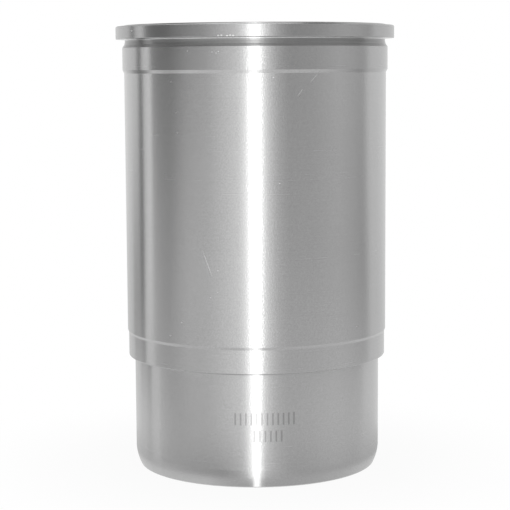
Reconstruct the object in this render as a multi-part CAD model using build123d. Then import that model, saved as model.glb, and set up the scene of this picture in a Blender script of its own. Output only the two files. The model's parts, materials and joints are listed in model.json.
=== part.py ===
from build123d import *
import os

# Cylinder liner for a water-cooled engine: one machined iron casting, turned outside
# and honed inside. It stands on its lower end, with the origin at the centre of that
# end and +Z up the bore towards the flange. Lengths are in millimetres.

# Bore
bore_diameter = 106.5
bore_top_chamfer = 0.5
bore_lower_chamfer = 0.3

# Steps of the outside, each measured outwards from the one before it
skirt_wall = 4.15
shoulder_step = 2.8
body_step = 0.5
pilot_step = 0.75
flange_overhang = 2.95

# Heights of the outside, from the gasket side down
liner_length = 204.6
flange_thickness = 5.8
pilot_length = 10.1
pilot_runout_height = 1.5
band_runout_height = 1.3
band_length = 10.8
skirt_length = 51.9

# Relief under the flange: a groove, a shallow taper below it, then a steeper lead-in
# that opens out to the pilot
groove_depth = 1.25
groove_height = 1.35
groove_root_radius = 0.9
relief_taper_depth = 0.9
relief_taper_height = 1.3
pilot_lead_in_height = 1.3

# Raised land on the flange, which presses the head gasket round the bore
land_wall = 7.35
land_height = 0.5
land_chamfer = 0.15

# Edges of the flange and the shoulder
flange_top_chamfer = 0.45
flange_seat_chamfer = 0.15
shoulder_edge_radius = 0.5
shoulder_root_radius = 0.8

# Lower end: one large arc leads the skirt in to a thinner wall, and meets the skirt at a
# faint edge
lead_in_length = 8.1
lead_in_radius = 20.0
end_wall = 1.85
end_radius = 0.8

# Radii, from the bore out
bore_radius = bore_diameter / 2
end_outer_radius = bore_radius + end_wall
skirt_radius = bore_radius + skirt_wall
band_radius = skirt_radius + shoulder_step
body_radius = band_radius + body_step
pilot_radius = body_radius + pilot_step
flange_radius = pilot_radius + flange_overhang
groove_radius = pilot_radius - groove_depth
relief_taper_radius = pilot_radius - relief_taper_depth
land_radius = bore_radius + land_wall

# Heights above the lower end
face_z = liner_length
land_z = face_z + land_height
seat_z = face_z - flange_thickness
groove_floor_z = seat_z - groove_height
relief_taper_z = groove_floor_z - relief_taper_height
pilot_top_z = relief_taper_z - pilot_lead_in_height
pilot_bottom_z = pilot_top_z - pilot_length
body_top_z = pilot_bottom_z - pilot_runout_height
shoulder_z = skirt_length
band_top_z = shoulder_z + band_length
body_bottom_z = band_top_z + band_runout_height


def ring_edge(part, radius, height):
    """The circular edge of the given radius at the given height."""
    circles = part.edges().filter_by(GeomType.CIRCLE)
    at_height = circles.sort_by(lambda edge: abs(edge.arc_center.Z - height) + abs(edge.radius - radius))
    return at_height[0]


def half_section():
    """The wall on one side of the axis: the lead-in arc, then straight turned steps."""
    with BuildSketch(Plane.XZ) as section:
        with BuildLine():
            RadiusArc((end_outer_radius, 0), (skirt_radius, lead_in_length), -lead_in_radius)
            Polyline(
                (skirt_radius, lead_in_length),
                (skirt_radius, shoulder_z),
                (band_radius, shoulder_z),
                (band_radius, band_top_z),
                (body_radius, body_bottom_z),
                (body_radius, body_top_z),
                (pilot_radius, pilot_bottom_z),
                (pilot_radius, pilot_top_z),
                (relief_taper_radius, relief_taper_z),
                (groove_radius, groove_floor_z),
                (groove_radius, seat_z),
                (flange_radius, seat_z),
                (flange_radius, face_z),
                (land_radius, face_z),
                (land_radius, land_z),
                (bore_radius, land_z),
                (bore_radius, 0),
                (end_outer_radius, 0),
            )
        make_face()
    return section.sketch


def cylinder_liner():
    """The turned blank, with its edges broken and its inside corners rounded."""
    with BuildPart() as liner:
        add(half_section())
        revolve(axis=Axis.Z)
        fillet(ring_edge(liner, end_outer_radius, 0), end_radius)
        fillet(ring_edge(liner, band_radius, shoulder_z), shoulder_edge_radius)
        fillet(ring_edge(liner, skirt_radius, shoulder_z), shoulder_root_radius)
        fillet(ring_edge(liner, groove_radius, seat_z), groove_root_radius)
        chamfer(ring_edge(liner, flange_radius, seat_z), flange_seat_chamfer)
        chamfer(ring_edge(liner, flange_radius, face_z), flange_top_chamfer)
        chamfer(ring_edge(liner, land_radius, land_z), land_chamfer)
        chamfer(ring_edge(liner, bore_radius, land_z), bore_top_chamfer)
        chamfer(ring_edge(liner, bore_radius, 0), bore_lower_chamfer)
    liner.part.label = "cylinder_liner"
    return liner.part


os.makedirs("parts", exist_ok=True)
export_step(cylinder_liner(), "parts/cylinder_liner.step")
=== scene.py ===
import json
import math

import bpy
from mathutils import Matrix, Vector


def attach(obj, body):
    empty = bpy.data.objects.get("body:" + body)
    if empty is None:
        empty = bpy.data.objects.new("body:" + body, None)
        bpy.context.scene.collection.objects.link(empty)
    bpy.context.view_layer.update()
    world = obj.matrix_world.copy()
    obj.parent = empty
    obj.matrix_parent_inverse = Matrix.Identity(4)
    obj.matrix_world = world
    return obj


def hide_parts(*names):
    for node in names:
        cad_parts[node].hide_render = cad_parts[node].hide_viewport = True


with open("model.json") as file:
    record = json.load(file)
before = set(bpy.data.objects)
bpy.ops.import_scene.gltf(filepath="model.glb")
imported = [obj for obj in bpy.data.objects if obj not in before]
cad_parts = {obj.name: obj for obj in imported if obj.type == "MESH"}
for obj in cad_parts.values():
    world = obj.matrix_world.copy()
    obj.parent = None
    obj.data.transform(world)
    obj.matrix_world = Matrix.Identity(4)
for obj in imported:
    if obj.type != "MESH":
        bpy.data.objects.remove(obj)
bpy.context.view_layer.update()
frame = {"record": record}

mm = 0.001
white = (1.0, 1.0, 1.0, 1.0)


def toLinear(hexColour):
    # sRGB hex to the linear values that the shader sockets take
    channels = [int(hexColour[i:i + 2], 16) / 255 for i in (1, 3, 5)]
    linear = [c / 12.92 if c <= 0.04045 else ((c + 0.055) / 1.055) ** 2.4 for c in channels]
    return (*linear, 1.0)


def addNode(tree, kind, inputs=None, **settings):
    # an input is a plain value, one socket of another node, or a node for its first output
    node = tree.nodes.new(kind)
    for name, value in settings.items():
        setattr(node, name, value)
    for key, value in (inputs or {}).items():
        source = value.outputs[0] if isinstance(value, bpy.types.Node) else value
        if isinstance(source, bpy.types.NodeSocket):
            tree.links.new(source, node.inputs[key])
        else:
            node.inputs[key].default_value = source
    return node


def newMaterial(name):
    material = bpy.data.materials.new(name)
    material.use_nodes = True
    material.node_tree.nodes.clear()
    return material, material.node_tree


# The camera stands in front of the liner and looks a little down at it.
camera = {
    "distance": 763.3 * mm,    # from the bore axis
    "eyeHeight": 186.35 * mm,  # above the lower end, a little under the flange
    "downTilt": 0.1155,        # radians, as the next two
    "pan": -0.0007,
    "roll": -0.0061,
    "lens": 115.08,            # mm, as the next one
    "sensorWidth": 36,
}


def makeCamera(spec):
    tilt, pan, roll = spec["downTilt"], spec["pan"], spec["roll"]
    look = Vector((math.sin(pan) * math.cos(tilt), math.cos(pan) * math.cos(tilt), -math.sin(tilt)))
    level = Vector((math.cos(pan), -math.sin(pan), 0))
    upright = level.cross(look)
    right = math.cos(roll) * level + math.sin(roll) * upright
    up = math.cos(roll) * upright - math.sin(roll) * level
    data = bpy.data.cameras.new("camera")
    data.lens = spec["lens"]
    data.sensor_width = spec["sensorWidth"]
    cameraObject = bpy.data.objects.new("camera", data)
    bpy.context.scene.collection.objects.link(cameraObject)
    turn = Matrix((right, up, -look)).transposed().to_4x4()
    cameraObject.matrix_world = Matrix.Translation((0, -spec["distance"], spec["eyeHeight"])) @ turn
    bpy.context.scene.camera = cameraObject


makeCamera(camera)
print("camera placed")


mount = {m["name"]: m for m in frame["record"]["mounts"]}

# Sizes in millimetres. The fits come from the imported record, the rest is the turned outline.
liner = {
    "bore": mount["bore"]["dims"]["r_mm"],
    "pilot": mount["upper_pilot"]["dims"]["r_mm"],
    "band": mount["lower_band"]["dims"]["r_mm"],
    "flange": mount["flange_rim"]["dims"]["r_mm"],
    "seatHeight": mount["flange_seat"]["pos_m"][2] / mm,
    "landHeight": mount["gasket_land"]["pos_m"][2] / mm,
    "skirtWall": 4.15,
    "bodyStep": 0.5,          # body over band
    "grooveDepth": 1.25,      # relief groove under the flange, below the pilot
    "reliefTaperDepth": 0.9,
    "landWall": 7.35,         # raised gasket land, outwards from the bore
    "endWall": 1.85,
    "flangeThickness": 5.8,
    "grooveHeight": 1.35,
    "reliefTaperHeight": 1.3,
    "pilotLeadIn": 1.3,
    "pilotLength": 10.1,
    "pilotRunout": 1.5,
    "bandRunout": 1.3,
    "bandLength": 10.8,
    "skirtLength": 51.9,
    "leadIn": 8.1,
    "leadInRadius": 20.0,     # one large arc from the skirt to the thin end
    "endRadius": 0.8,
    "shoulderEdge": 0.5,
    "shoulderRoot": 0.8,
    "grooveRoot": 0.9,
    "topChamfer": 0.45,
    "seatChamfer": 0.15,
    "landChamfer": 0.15,
    "boreTopChamfer": 0.5,
    "boreEndChamfer": 0.3,
    "edge": 0.06,             # every other corner, as a deburred edge is
    "segments": 512,          # round the axis
    "cornerSteps": 4,
    "cornerShare": 0.45,      # the most that a corner takes of the shorter face beside it
    "leadInSteps": 4,
}


def leadInArc(s, skirt):
    # the corners of the lead-in between the lower end and the skirt, all on its arc
    start, end = Vector((s["bore"] + s["endWall"], 0)), Vector((skirt, s["leadIn"]))
    half = (end - start) / 2
    inwards = Vector((-half.y, half.x)).normalized()
    centre = start + half + inwards * math.sqrt(s["leadInRadius"] ** 2 - half.length_squared)
    corners = []
    for k in range(1, s["leadInSteps"] + 1):
        spoke = (start - centre).slerp(end - centre, k / (s["leadInSteps"] + 1)).normalized()
        corners.append((*(centre + spoke * s["leadInRadius"]), s["leadInRadius"], "turned"))
    return corners


def linerCorners(s):
    # (radius, height, corner radius, finish of the face that starts there), up the outside
    # from the lower end and back down the bore
    skirt = s["bore"] + s["skirtWall"]
    body = s["band"] + s["bodyStep"]
    groove = s["pilot"] - s["grooveDepth"]
    reliefTaper = s["pilot"] - s["reliefTaperDepth"]
    land = s["bore"] + s["landWall"]
    face = s["seatHeight"] + s["flangeThickness"]
    grooveFloor = s["seatHeight"] - s["grooveHeight"]
    taperFoot = grooveFloor - s["reliefTaperHeight"]
    pilotTop = taperFoot - s["pilotLeadIn"]
    pilotBottom = pilotTop - s["pilotLength"]
    bandTop = s["skirtLength"] + s["bandLength"]
    edge = s["edge"]
    return [
        (s["bore"] + s["boreEndChamfer"], 0, edge, "faced"),
        (s["bore"] + s["endWall"], 0, s["endRadius"], "turned"),
        *leadInArc(s, skirt),
        (skirt, s["leadIn"], edge, "turned"),
        (skirt, s["skirtLength"], s["shoulderRoot"], "faced"),
        (s["band"], s["skirtLength"], s["shoulderEdge"], "turned"),
        (s["band"], bandTop, edge, "turned"),
        (body, bandTop + s["bandRunout"], edge, "turned"),
        (body, pilotBottom - s["pilotRunout"], edge, "turned"),
        (s["pilot"], pilotBottom, edge, "ground"),
        (s["pilot"], pilotTop, edge, "relief"),
        (reliefTaper, taperFoot, edge, "relief"),
        (groove, grooveFloor, edge, "relief"),
        (groove, s["seatHeight"], s["grooveRoot"], "seat"),
        (s["flange"] - s["seatChamfer"], s["seatHeight"], edge, "rim"),
        (s["flange"], s["seatHeight"] + s["seatChamfer"], edge, "rim"),
        (s["flange"], face - s["topChamfer"], edge, "rim"),
        (s["flange"] - s["topChamfer"], face, edge, "faced"),
        (land, face, edge, "faced"),
        (land, s["landHeight"] - s["landChamfer"], edge, "faced"),
        (land - s["landChamfer"], s["landHeight"], edge, "faced"),
        (s["bore"] + s["boreTopChamfer"], s["landHeight"], edge, "faced"),
        (s["bore"], s["landHeight"] - s["boreTopChamfer"], edge, "honed"),
        (s["bore"], s["boreEndChamfer"], edge, "faced"),
    ]


def roundedOutline(corners, steps, cornerShare):
    # each corner becomes a tangent arc; a point is (place, outward normal, finish)
    outline = []
    for i, (r, z, size, finish) in enumerate(corners):
        corner = Vector((r, z))
        before = Vector(corners[i - 1][:2]) - corner
        after = Vector(corners[(i + 1) % len(corners)][:2]) - corner
        halfAngle = before.angle(after) / 2
        size = min(size, cornerShare * min(before.length, after.length) * math.tan(halfAngle))
        inwards = (before.normalized() + after.normalized()).normalized()
        centre = corner + inwards * size / math.sin(halfAngle)
        start = corner + before.normalized() * size / math.tan(halfAngle) - centre
        end = corner + after.normalized() * size / math.tan(halfAngle) - centre
        outwards = 1 if before.x * after.y - before.y * after.x < 0 else -1
        for k in range(steps + 1):
            spoke = start.slerp(end, k / steps).normalized()
            outline.append((centre + spoke * size, spoke * outwards, finish))
    return outline


def latheMesh(name, outline, segments, finishes):
    vertices, normals, faces = [], [], []
    for k in range(segments):
        angle = 2 * math.pi * k / segments
        across, along = math.cos(angle), math.sin(angle)
        for point, normal, finish in outline:
            vertices.append((point.x * across * mm, point.x * along * mm, point.y * mm))
            normals.append((normal.x * across, normal.x * along, normal.y))
    count = len(outline)
    for k in range(segments):
        here, there = k * count, (k + 1) % segments * count
        for i in range(count):
            j = (i + 1) % count
            faces.append((here + i, there + i, there + j, here + j))
    mesh = bpy.data.meshes.new(name)
    mesh.from_pydata(vertices, [], faces)
    for material in finishes.values():
        mesh.materials.append(material)
    slots = [list(finishes).index(finish) for point, normal, finish in outline] * segments
    mesh.polygons.foreach_set("material_index", slots)
    mesh.shade_smooth()
    mesh.normals_split_custom_set_from_vertices(normals)
    return mesh


def ringPlace(tree, length, width):
    # the object's own coordinates, drawn out round the axis, so that noise turns into rings:
    # up and down on the outside, in and out on a flat face
    place = addNode(tree, "ShaderNodeTexCoord").outputs["Object"]
    split = addNode(tree, "ShaderNodeSeparateXYZ", {0: place})
    flat = addNode(tree, "ShaderNodeCombineXYZ", {"X": split.outputs["X"], "Y": split.outputs["Y"]})
    radius = addNode(tree, "ShaderNodeVectorMath", {0: flat}, operation="LENGTH").outputs["Value"]
    depth = addNode(tree, "ShaderNodeMath", {0: radius, 1: split.outputs["Z"]}, operation="ADD")
    drawn = addNode(tree, "ShaderNodeCombineXYZ", {
        "X": split.outputs["X"], "Y": split.outputs["Y"], "Z": depth})
    scale = Vector((1 / length, 1 / length, 1 / width)) / mm
    return addNode(tree, "ShaderNodeVectorMath", {0: drawn, 1: scale}, operation="MULTIPLY")


def wrapPlace(tree):
    # radians round the axis from the front, and height in millimetres
    place = addNode(tree, "ShaderNodeTexCoord").outputs["Object"]
    split = addNode(tree, "ShaderNodeSeparateXYZ", {0: place})
    front = addNode(tree, "ShaderNodeMath", {0: split.outputs["Y"], 1: -1.0}, operation="MULTIPLY")
    angle = addNode(tree, "ShaderNodeMath", {0: split.outputs["X"], 1: front}, operation="ARCTAN2")
    height = addNode(tree, "ShaderNodeMath", {0: split.outputs["Z"], 1: 1 / mm}, operation="MULTIPLY")
    return angle, height


def between(tree, value, low, high, soft):
    # 1 inside a range, with a soft edge on both sides
    centre, half = (low + high) / 2, (high - low) / 2
    distance = addNode(tree, "ShaderNodeMath", {0: value, 1: centre}, operation="SUBTRACT")
    away = addNode(tree, "ShaderNodeMath", {0: distance}, operation="ABSOLUTE")
    return addNode(tree, "ShaderNodeMapRange", {
        "Value": away, "From Min": half - soft / 2, "From Max": half + soft / 2,
        "To Min": 1.0, "To Max": 0.0})


def paintOver(tree, look, mask, over):
    # takes the inputs of the iron that a mark changes towards the mark's own values; the mix
    # node's inputs 6 and 7 are its two colours, and 2 and 3 its two plain values
    for name, value in over.items():
        if name == "Base Color":
            mix = addNode(tree, "ShaderNodeMix", {0: mask, 6: look[name], 7: value}, data_type="RGBA")
            look[name] = mix.outputs[2]
        else:
            look[name] = addNode(tree, "ShaderNodeMix", {0: mask, 2: look[name], 3: value})


def machinedIron(name, spec, marks=None):
    # what every turned face shares: rings left by the tool, a fine grain, faint hand marks
    material, tree = newMaterial(name)
    ringNoise = addNode(tree, "ShaderNodeTexNoise", {
        "Vector": ringPlace(tree, spec["ringLength"], spec["ringWidth"]),
        "Scale": 1.0, "Detail": 2.0, "Roughness": 0.6})
    patches = addNode(tree, "ShaderNodeTexNoise", {
        "Vector": ringPlace(tree, spec["patchLength"], spec["patchHeight"]), "Scale": 1.0, "Detail": 1.0})
    patch = addNode(tree, "ShaderNodeMapRange", {"Value": patches, "From Min": 0.4, "From Max": 0.6})
    offset = addNode(tree, "ShaderNodeMath", {0: ringNoise, 1: 0.5}, operation="SUBTRACT")
    rings = addNode(tree, "ShaderNodeMath", {0: offset, 1: patch, 2: 0.5}, operation="MULTIPLY_ADD")
    grain = addNode(tree, "ShaderNodeTexNoise", {
        "Vector": ringPlace(tree, spec["grainWidth"], spec["grainHeight"]), "Scale": 1.0, "Detail": 1.0})
    cloud = addNode(tree, "ShaderNodeTexNoise", {
        "Vector": ringPlace(tree, spec["cloudSize"], spec["cloudSize"]), "Scale": 1.0, "Detail": 2.0})
    ringTone = addNode(tree, "ShaderNodeMapRange", {
        "Value": rings, "To Min": 1 - spec["ringTone"], "To Max": 1 + spec["ringTone"]})
    cloudTone = addNode(tree, "ShaderNodeMapRange", {
        "Value": cloud, "To Min": 1 - spec["cloudTone"], "To Max": 1 + spec["cloudTone"]})
    grainTone = addNode(tree, "ShaderNodeMapRange", {
        "Value": grain, "To Min": 1 - spec["grainTone"], "To Max": 1 + spec["grainTone"]})
    marksTone = addNode(tree, "ShaderNodeMath", {0: ringTone, 1: cloudTone}, operation="MULTIPLY")
    tone = addNode(tree, "ShaderNodeMath", {0: marksTone, 1: grainTone}, operation="MULTIPLY")
    ringBump = addNode(tree, "ShaderNodeBump", {"Distance": spec["ringDepth"] * mm, "Height": rings})
    look = {
        "Base Color": addNode(tree, "ShaderNodeVectorMath", {
            0: toLinear(spec["colour"])[:3], "Scale": tone}, operation="SCALE"),
        "Metallic": 1.0,
        "Roughness": addNode(tree, "ShaderNodeMapRange", {
            "Value": rings, "To Min": spec["roughness"] - spec["roughSpread"],
            "To Max": spec["roughness"] + spec["roughSpread"]}),
        "Anisotropic": spec["anisotropy"],
        "Anisotropic Rotation": 0.25,  # a quarter turn, so a reflection is drawn out along the axis
        "Normal": addNode(tree, "ShaderNodeBump", {
            "Distance": spec["grainDepth"] * mm, "Height": grain, "Normal": ringBump}),
        "Tangent": addNode(tree, "ShaderNodeTangent", direction_type="RADIAL", axis="Z"),
    }
    if marks:
        marks(tree, look)
    iron = addNode(tree, "ShaderNodeBsdfPrincipled", look)
    addNode(tree, "ShaderNodeOutputMaterial", {"Surface": iron})
    return material


# Fine-turned grey iron: the tool leaves rings round the axis, finer than the eye can part.
# They spread a reflection along the axis and leave it sharp across, which gives the long
# upright bands of light on the outside, with a fine sparkle at their edges.
turnedIron = {
    "colour": "#CBCBCB",
    "roughness": 0.27,
    "roughSpread": 0.012,
    "anisotropy": 1.0,
    "ringLength": 3000,       # mm, far longer than the way round, so every ring stays level
    "ringWidth": 0.5,         # mm, drawn coarser than the real 0.1 mm feed so that it shows
    "ringTone": 0.12,
    "ringDepth": 0.0006,      # mm
    "patchLength": 9,         # mm, as the next one; the rings show in patches
    "patchHeight": 2,
    "grainWidth": 0.65,       # mm, flakes of graphite torn out by the tool, drawn larger than real
    "grainHeight": 0.8,       # mm, as the next one
    "grainDepth": 0.02,
    "grainTone": 0.09,
    "cloudSize": 22,          # mm, hand marks and oil film
    "cloudTone": 0.02,
}

# Small nicks from handling: the broken metal sends light every way, and each is drawn in a
# lighter colour as a painted glint.
bodyNicksAndGlints = {
    "places": [               # degrees from the front, mm above the lower end
        (-37.2, 179.7), (-34.8, 166.2), (-34.1, 157.5), (9.8, 135.8), (-16.0, 97.8),
        (-16.2, 88.2), (-19.3, 85.8), (-33.1, 73.8), (-39.1, 67.4), (47.6, 70.0),
        (7.4, 181.4), (-17.5, 192.4), (-15.8, 191.9), (-14.7, 192.6), (-28.3, 192.9),
    ],
    "width": 0.5,             # mm, as the next one
    "tall": 0.3,
    "soft": 0.4,              # the edge fades by this share of the size, inwards and outwards
    # the lighter colour is a painted glint
    "look": {"Base Color": toLinear("#F0F0F0"), "Roughness": 0.5, "Anisotropic": 0.0},
}

# The flange takes the harder knocks, most of them on its lower edge. The cluster there beside
# the bright upright band, in the lighter colour, is partly a painted highlight that widens it.
rimNicksAndGlints = {
    **bodyNicksAndGlints,
    "places": [
        (-14.0, 199.3), (-12.8, 199.4), (-10.6, 199.2), (-9.4, 199.4), (-8.2, 199.2), (-58.0, 202.2),
    ],
    "width": 0.9,
    "tall": 0.5,
}

# Fine scratch marks from other parts, each from one place to another, drawn in a lighter
# colour as a painted glint.
scratchesAndGlints = {
    "runs": [                 # degrees from the front, mm above the lower end
        ((-22.2, 105.1), (-18.9, 96.2)), ((23.5, 179.6), (26.5, 182.7)), ((17.8, 173.5), (19.6, 176.2)),
    ],
    "width": 0.2,             # mm
    "endFade": 1 / 3,         # share of its length over which each end fades out
    "look": {"Base Color": toLinear("#F0F0F0"), "Roughness": 0.45, "Anisotropic": 0.4},
}

# A plain etched mark on the skirt: two rows of upright strokes, evenly spaced, with no
# meaning. The etch takes some shine off the iron and leaves it a little darker.
etchedMark = {
    "rows": [
        {"from": -10.9, "to": 17.7, "foot": 28.7, "top": 34.1, "strokes": 12},
        {"from": -2.5, "to": 12.1, "foot": 21.2, "top": 26.2, "strokes": 6},
    ],
    "strokeShare": 0.3,       # width of a stroke, as a share of the spacing
    "strokeSoft": 0.12,       # soft edge of a stroke, as a share of the spacing
    "footSoft": 0.25,         # mm, soft edge at the foot and the top of a row
    "endSoft": 0.001,         # radians, soft edge at both ends of a row
    "tone": 0.72,
    "roughness": 0.3,
}


# each nick takes the lighter colour of its spec, a painted glint
def addNicksAndGlints(tree, look, around, height, nicks, radius):
    spot = addNode(tree, "ShaderNodeCombineXYZ", {"X": around, "Y": height})
    for nickAngle, nickHeight in nicks["places"]:
        centre = (math.radians(nickAngle) * radius, nickHeight, 0)
        offset = addNode(tree, "ShaderNodeVectorMath", {0: spot, 1: centre}, operation="SUBTRACT")
        shape = (2 / nicks["width"], 2 / nicks["tall"], 0)
        drawn = addNode(tree, "ShaderNodeVectorMath", {0: offset, 1: shape}, operation="MULTIPLY")
        away = addNode(tree, "ShaderNodeVectorMath", {0: drawn}, operation="LENGTH").outputs["Value"]
        mask = addNode(tree, "ShaderNodeMapRange", {
            "Value": away, "From Min": 1 - nicks["soft"], "From Max": 1 + nicks["soft"],
            "To Min": 1.0, "To Max": 0.0})
        paintOver(tree, look, mask, nicks["look"])


# each scratch line takes a lighter colour, a painted glint
def addScratchesAndGlints(tree, look, around, height, radius):
    spot = addNode(tree, "ShaderNodeCombineXYZ", {"X": around, "Y": height})
    half = scratchesAndGlints["width"] / 2
    for (startAngle, startHeight), (endAngle, endHeight) in scratchesAndGlints["runs"]:
        start = Vector((math.radians(startAngle) * radius, startHeight, 0))
        run = Vector((math.radians(endAngle) * radius, endHeight, 0)) - start
        ahead = run.normalized()
        offset = addNode(tree, "ShaderNodeVectorMath", {0: spot, 1: start}, operation="SUBTRACT")
        along = addNode(tree, "ShaderNodeVectorMath", {0: offset, 1: ahead}, operation="DOT_PRODUCT")
        aside = addNode(tree, "ShaderNodeVectorMath", {
            0: offset, 1: (-ahead.y, ahead.x, 0)}, operation="DOT_PRODUCT")
        inLength = between(tree, along.outputs["Value"], 0, run.length, run.length * scratchesAndGlints["endFade"])
        inWidth = between(tree, aside.outputs["Value"], -half, half, scratchesAndGlints["width"])
        mask = addNode(tree, "ShaderNodeMath", {0: inLength, 1: inWidth}, operation="MULTIPLY")
        paintOver(tree, look, mask, scratchesAndGlints["look"])


def addEtchedRow(tree, look, angle, height, row):
    start, end = math.radians(row["from"]), math.radians(row["to"])
    count = addNode(tree, "ShaderNodeMapRange", {
        "Value": angle, "From Min": start, "From Max": end, "To Max": float(row["strokes"])}, clamp=False)
    share = addNode(tree, "ShaderNodeMath", {0: count}, operation="FRACT")
    half = etchedMark["strokeShare"] / 2
    stroke = between(tree, share, 0.5 - half, 0.5 + half, etchedMark["strokeSoft"])
    inRow = addNode(tree, "ShaderNodeMath", {
        0: between(tree, angle, start, end, etchedMark["endSoft"]),
        1: between(tree, height, row["foot"], row["top"], etchedMark["footSoft"])}, operation="MULTIPLY")
    mask = addNode(tree, "ShaderNodeMath", {0: stroke, 1: inRow}, operation="MULTIPLY")
    etched = addNode(tree, "ShaderNodeVectorMath", {
        0: look["Base Color"], "Scale": etchedMark["tone"]}, operation="SCALE")
    paintOver(tree, look, mask, {"Base Color": etched, "Roughness": etchedMark["roughness"]})


# the etched mark, and the nick and scratch marks whose lighter colour is a painted glint
def bodyMarksAndGlints(tree, look):
    angle, height = wrapPlace(tree)
    radius = liner["band"] + liner["bodyStep"]
    around = addNode(tree, "ShaderNodeMath", {0: angle, 1: radius}, operation="MULTIPLY")
    addNicksAndGlints(tree, look, around, height, bodyNicksAndGlints, radius)
    addScratchesAndGlints(tree, look, around, height, radius)
    for row in etchedMark["rows"]:
        addEtchedRow(tree, look, angle, height, row)


# the rim's nick marks, whose lighter colour is a painted glint
def rimMarksAndGlints(tree, look):
    angle, height = wrapPlace(tree)
    around = addNode(tree, "ShaderNodeMath", {0: angle, 1: liner["flange"]}, operation="MULTIPLY")
    addNicksAndGlints(tree, look, around, height, rimNicksAndGlints, liner["flange"])


# The flange rim stands clear of the block, so it has no fit to keep. Its surface is a shade
# darker, and its bands of light have slightly softer sides than those of the body.
flangeRim = {**turnedIron, "colour": "#BABABA", "anisotropy": 0.8}

# The pilot is ground to fit its bore in the block, and it is drawn a touch darker than the body.
groundIron = {**turnedIron, "colour": "#C2C2C2", "anisotropy": 0.97}

# The relief groove under the flange keeps its roughing cut, and its colour is darkened as
# painted shade from the flange over it, so it reads as a dark line.
paintedShadeReliefIron = {**turnedIron, "colour": "#A6A6A6", "roughness": 0.3}

# The seat under the flange and the root beside it are ground with one wheel, and their colour
# is lightened as a painted highlight, so the root shows as a thin light line.
paintedLightSeatIron = {**turnedIron, "colour": "#DCDCDC", "anisotropy": 0.9}

# Faced iron: the same tool run across the top, the shoulder and the lower end, so the rings
# lie in the flat face and light fans out across them.
facedIron = {**turnedIron, "colour": "#C6C6C6", "roughness": 0.3, "ringTone": 0.05, "ringDepth": 0.001}

# Honed iron: abrasive stones cross the bore both ways at about 25 degrees from level, which
# gives the wall its fine diamond pattern and a softer shine.
honedIron = {
    **turnedIron,
    "colour": "#BDBDBD",
    "roughness": 0.34,
    "anisotropy": 0.7,
    "lineSpacing": 1.6,       # mm, drawn coarser than the real 0.2 mm so that it shows
    "lineTone": 0.26,
    "lineFrom": 0.55,         # a line shows where its sine wave is above this
    "lineAngle": 25,          # degrees from level
    "breakWidth": 6.0,        # mm, as the next one; size of the patches where lines fade
    "breakHeight": 2.0,
}


def honedMarks(tree, look):
    # two families of slanting lines that close on themselves round the bore
    angle, height = wrapPlace(tree)
    breakUp = addNode(tree, "ShaderNodeTexNoise", {
        "Vector": ringPlace(tree, honedIron["breakWidth"], honedIron["breakHeight"]),
        "Scale": 1.0, "Detail": 3.0})
    slant = math.radians(honedIron["lineAngle"])
    lines = round(2 * math.pi * liner["bore"] * math.sin(slant) / honedIron["lineSpacing"])
    turned = addNode(tree, "ShaderNodeMath", {0: angle, 1: float(lines)}, operation="MULTIPLY")
    for way in (1, -1):
        climb = way * 2 * math.pi * math.cos(slant) / honedIron["lineSpacing"]
        phase = addNode(tree, "ShaderNodeMath", {
            0: height, 1: climb, 2: turned}, operation="MULTIPLY_ADD")
        wave = addNode(tree, "ShaderNodeMath", {0: phase}, operation="SINE")
        line = addNode(tree, "ShaderNodeMapRange", {
            "Value": wave, "From Min": honedIron["lineFrom"], "From Max": 1.0})
        broken = addNode(tree, "ShaderNodeMath", {0: line, 1: breakUp}, operation="MULTIPLY")
        tone = addNode(tree, "ShaderNodeMapRange", {
            "Value": broken, "To Min": 1.0, "To Max": 1 - 2 * honedIron["lineTone"]})
        look["Base Color"] = addNode(tree, "ShaderNodeVectorMath", {
            0: look["Base Color"], "Scale": tone}, operation="SCALE")


finishes = {
    "turned": machinedIron("fine-turned grey iron", turnedIron, bodyMarksAndGlints),
    "rim": machinedIron("turned grey iron, rim", flangeRim, rimMarksAndGlints),
    "ground": machinedIron("ground grey iron, pilot", groundIron, bodyMarksAndGlints),
    "relief": machinedIron("turned grey iron, relief groove", paintedShadeReliefIron),
    "seat": machinedIron("ground grey iron, flange seat", paintedLightSeatIron),
    "faced": machinedIron("faced grey iron", facedIron),
    "honed": machinedIron("honed grey iron", honedIron, honedMarks),
}
print("materials made")

outline = roundedOutline(linerCorners(liner), liner["cornerSteps"], liner["cornerShare"])
linerMesh = latheMesh("turnedLiner", outline, liner["segments"], finishes)
linerPiece = bpy.data.objects.new("turnedLiner", linerMesh)
bpy.context.scene.collection.objects.link(linerPiece)
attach(linerPiece, "root")
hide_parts("cylinder_liner")
print("liner turned,", len(linerMesh.polygons), "faces")


studio = {
    "ambient": 0.6,           # what the world gives everything but the eye and reflections
    "floorRadius": 0.3,       # m, as whiteFrom
    "floorSides": 128,
    "floorColour": "#EDEDED",
    "floorWhite": 0.93,       # share of plain white at the foot, all of it from whiteFrom outwards
    "whiteFrom": 0.16,
}


def seenDirectly(tree):
    # camera, glossy and transmission rays, which see the plain white background
    path = addNode(tree, "ShaderNodeLightPath")
    first = addNode(tree, "ShaderNodeMath", {
        0: path.outputs["Is Camera Ray"], 1: path.outputs["Is Glossy Ray"]}, operation="MAXIMUM")
    return addNode(tree, "ShaderNodeMath", {
        0: first, 1: path.outputs["Is Transmission Ray"]}, operation="MAXIMUM")


def makeWorld(spec):
    world = bpy.data.worlds.new("studio")
    bpy.context.scene.world = world
    world.use_nodes = True
    tree = world.node_tree
    tree.nodes.clear()
    strength = addNode(tree, "ShaderNodeMapRange", {
        "Value": seenDirectly(tree), "To Min": spec["ambient"], "To Max": 1.0})
    background = addNode(tree, "ShaderNodeBackground", {"Color": white, "Strength": strength})
    addNode(tree, "ShaderNodeOutputWorld", {"Surface": background})


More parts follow.
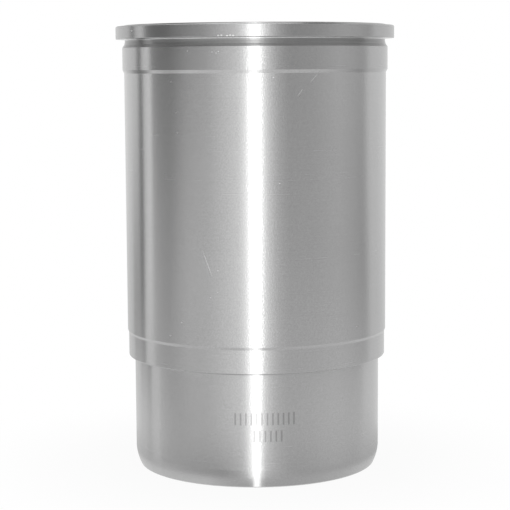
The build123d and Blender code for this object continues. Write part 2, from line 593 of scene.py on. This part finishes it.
def makeFloor(spec):
    material, tree = newMaterial("pale floor")
    paint = addNode(tree, "ShaderNodeBsdfDiffuse", {"Color": toLinear(spec["floorColour"])})
    glow = addNode(tree, "ShaderNodeEmission", {"Color": white, "Strength": 1.0})
    place = addNode(tree, "ShaderNodeTexCoord").outputs["Object"]
    fromFoot = addNode(tree, "ShaderNodeVectorMath", {0: place}, operation="LENGTH").outputs["Value"]
    fade = addNode(tree, "ShaderNodeMapRange", {
        "Value": fromFoot, "From Min": liner["bore"] * mm, "From Max": spec["whiteFrom"],
        "To Min": spec["floorWhite"], "To Max": 1.0}, interpolation_type="SMOOTHSTEP")
    share = addNode(tree, "ShaderNodeMath", {0: seenDirectly(tree), 1: fade}, operation="MULTIPLY")
    mix = addNode(tree, "ShaderNodeMixShader", {0: share, 1: paint, 2: glow})
    addNode(tree, "ShaderNodeOutputMaterial", {"Surface": mix})
    sides = spec["floorSides"]
    angles = [2 * math.pi * k / sides for k in range(sides)]
    rim = [Vector((math.cos(a), math.sin(a), 0)) * spec["floorRadius"] for a in angles]
    mesh = bpy.data.meshes.new("floor")
    mesh.from_pydata(rim, [], [range(sides)])
    mesh.materials.append(material)
    floor = bpy.data.objects.new("floor", mesh)
    bpy.context.scene.collection.objects.link(floor)


cardHeight = 0.0005           # m, just clear of the floor
boardStep = 4                 # degrees, the most that one flat panel of a board spans

# Graded boards stand round the liner, one hangs over it and cards lie on the floor at its
# foot. They show in its reflections only. A board runs from one edge to another, each
# (distance from the axis, height) in metres. Levels are given by bearing, in degrees to the
# right of the camera as the liner sees it, and fade from one to the next.
boards = {
    "leftBoards": {"foot": (1.15, 0.0), "top": (1.15, 0.35), "levels": {
        -180: 0.8, -122: 0.85, -120.5: 0.5, -114: 0.15, -112.5: 0.85, -101: 1.0, -99: 0.3, -88: 0.2,
        -75: 0.2, -60: 0.35, -40: 0.45, -26: 0.8, -14: 1.0, -9: 1.3, -4.5: 1.8}},
    "leftHighBoards": {"foot": (1.15, 0.35), "top": (1.15, 1.6), "levels": {
        -180: 0.65, -122: 0.7, -120.5: 0.5, -114: 0.15, -112.5: 0.85, -101: 1.0, -99: 0.05,
        -60: 0.05, -40: 0.4, -26: 0.75, -14: 0.95, -9: 1.2, -4.5: 1.6}},
    "leftLowBoards": {"foot": (1.15, -0.6), "top": (1.15, 0.0), "levels": {
        -180: 0.8, -138: 0.6, -136: 0.25, -114: 0.15, -112.5: 0.8, -100: 0.85, -80: 0.7, -60: 1.1,
        -40: 1.0, -26: 0.85, -14: 1.0, -9: 1.35, -4.5: 1.8}},
    "rightBoards": {"foot": (1.15, 0.0), "top": (1.15, 1.6), "levels": {
        4.2: 1.75, 8: 1.2, 14: 0.85, 19: 0.6, 28: 0.4, 50: 0.5, 75: 0.7, 90: 0.65, 105: 0.55,
        113: 0.8, 180: 0.75}},
    "rightLowBoards": {"foot": (1.15, -0.6), "top": (1.15, 0.0), "levels": {
        4.2: 1.7, 8: 1.0, 14: 0.75, 19: 0.6, 50: 0.45, 112: 0.2, 120: 0.6, 180: 0.8}},
    "ceilingBoard": {"foot": (0.5, 1.5), "top": (1.15, 1.6), "levels": {
        -180: 0.8, -90: 1.0, -50: 0.8, -10: 0.3, 30: 0.1, 90: 0.1, 180: 0.8}},
    # The cards at the foot paint the floor's light and shade into the reflections: darker near the foot
    # and to its front left as painted shadow, and a bright wedge in front as the painted glow of the key
    # strip on the floor.
    "footCard": {"foot": (0.0553, cardHeight), "top": (0.062, cardHeight), "levels": {
        -180: 0.8, -25: 0.8, -12: 0.6, -4: 0.55, -2.5: 0.7, -1: 1.8, 0.5: 1.8, 2: 0.75, 4: 0.55, 30: 0.6,
        60: 0.75, 180: 0.75}},
    "nearCard": {"foot": (0.062, cardHeight), "top": (0.1, cardHeight), "levels": {
        -180: 0.65, -50: 0.6, -18: 0.35, -10: 0.5, -6: 0.75, -3.5: 1.3, -1.5: 2.1, 0.5: 2.1, 2.5: 1.0,
        5: 0.65, 24: 0.5, 180: 0.6}},
    "farCard": {"foot": (0.1, cardHeight), "top": (0.18, cardHeight), "levels": {
        -180: 0.75, -78: 0.9, -58: 0.75, -26: 0.85, -10: 0.85, -4: 1.6, 1.5: 1.75, 4: 0.75,
        14: 0.75, 180: 0.8}},
    "outerCard": {"foot": (0.18, cardHeight), "top": (0.3, cardHeight), "levels": {
        -180: 0.8, -105: 0.75, -98: 0.48, -80: 0.48, -66: 0.65, -42: 0.65, -10: 1.05, -4: 1.9,
        3: 1.9, 5: 1.3, 11: 0.9, 16: 0.8, 180: 0.8}},
}


def makeBoard(name, spec):
    bearings = sorted(spec["levels"])
    stops = []
    for first, last in zip(bearings, bearings[1:]):
        steps = math.ceil((last - first) / boardStep)
        for k in range(steps):
            share = k / steps
            level = spec["levels"][first] * (1 - share) + spec["levels"][last] * share
            stops.append((first + (last - first) * share, level))
    stops.append((bearings[-1], spec["levels"][bearings[-1]]))
    vertices, levels = [], []
    for bearing, level in stops:
        x, y = math.sin(math.radians(bearing)), -math.cos(math.radians(bearing))
        for radius, height in (spec["foot"], spec["top"]):
            vertices.append((x * radius, y * radius, height))
            levels.append(level)
    faces = [(2 * k, 2 * k + 2, 2 * k + 3, 2 * k + 1) for k in range(len(stops) - 1)]
    mesh = bpy.data.meshes.new(name)
    mesh.from_pydata(vertices, [], faces)
    mesh.attributes.new("level", "FLOAT", "POINT").data.foreach_set("value", levels)
    material, tree = newMaterial(name)
    level = addNode(tree, "ShaderNodeAttribute", attribute_name="level").outputs["Fac"]
    glow = addNode(tree, "ShaderNodeEmission", {"Color": white, "Strength": level})
    addNode(tree, "ShaderNodeOutputMaterial", {"Surface": glow})
    mesh.materials.append(material)
    board = bpy.data.objects.new(name, mesh)
    bpy.context.scene.collection.objects.link(board)
    board.visible_camera = False
    board.visible_diffuse = False
    board.visible_shadow = False


# The key strip stands in the gap between the boards and gives the bright upright band. The
# softbox hangs over the liner. Lengths are in metres.
lamps = {
    "keyStrip": {
        "bearing": -0.2, "distance": 1.3, "height": 0.5, "width": 0.2, "tall": 2.2, "radiance": 2.1},
    "topSoftbox": {
        "bearing": 0, "distance": 0.0, "height": 1.5, "width": 1.0, "tall": 1.0, "radiance": 0.3},
}


def makeLamp(name, spec):
    data = bpy.data.lights.new(name, "AREA")
    data.shape = "RECTANGLE"
    data.size = spec["width"]
    data.size_y = spec["tall"]
    data.energy = spec["radiance"] * math.pi * spec["width"] * spec["tall"]
    lamp = bpy.data.objects.new(name, data)
    bpy.context.scene.collection.objects.link(lamp)
    bearing, distance = math.radians(spec["bearing"]), spec["distance"]
    place = Vector((math.sin(bearing) * distance, -math.cos(bearing) * distance, spec["height"]))
    target = Vector((0, 0, spec["height"] if distance else 0))  # overhead, straight down
    lamp.location = place
    lamp.rotation_euler = (target - place).to_track_quat("-Z", "Y").to_euler()


makeWorld(studio)
makeFloor(studio)
for name, spec in boards.items():
    makeBoard(name, spec)
for name, spec in lamps.items():
    makeLamp(name, spec)
bpy.context.scene.view_settings.view_transform = "Standard"
print("studio lit")
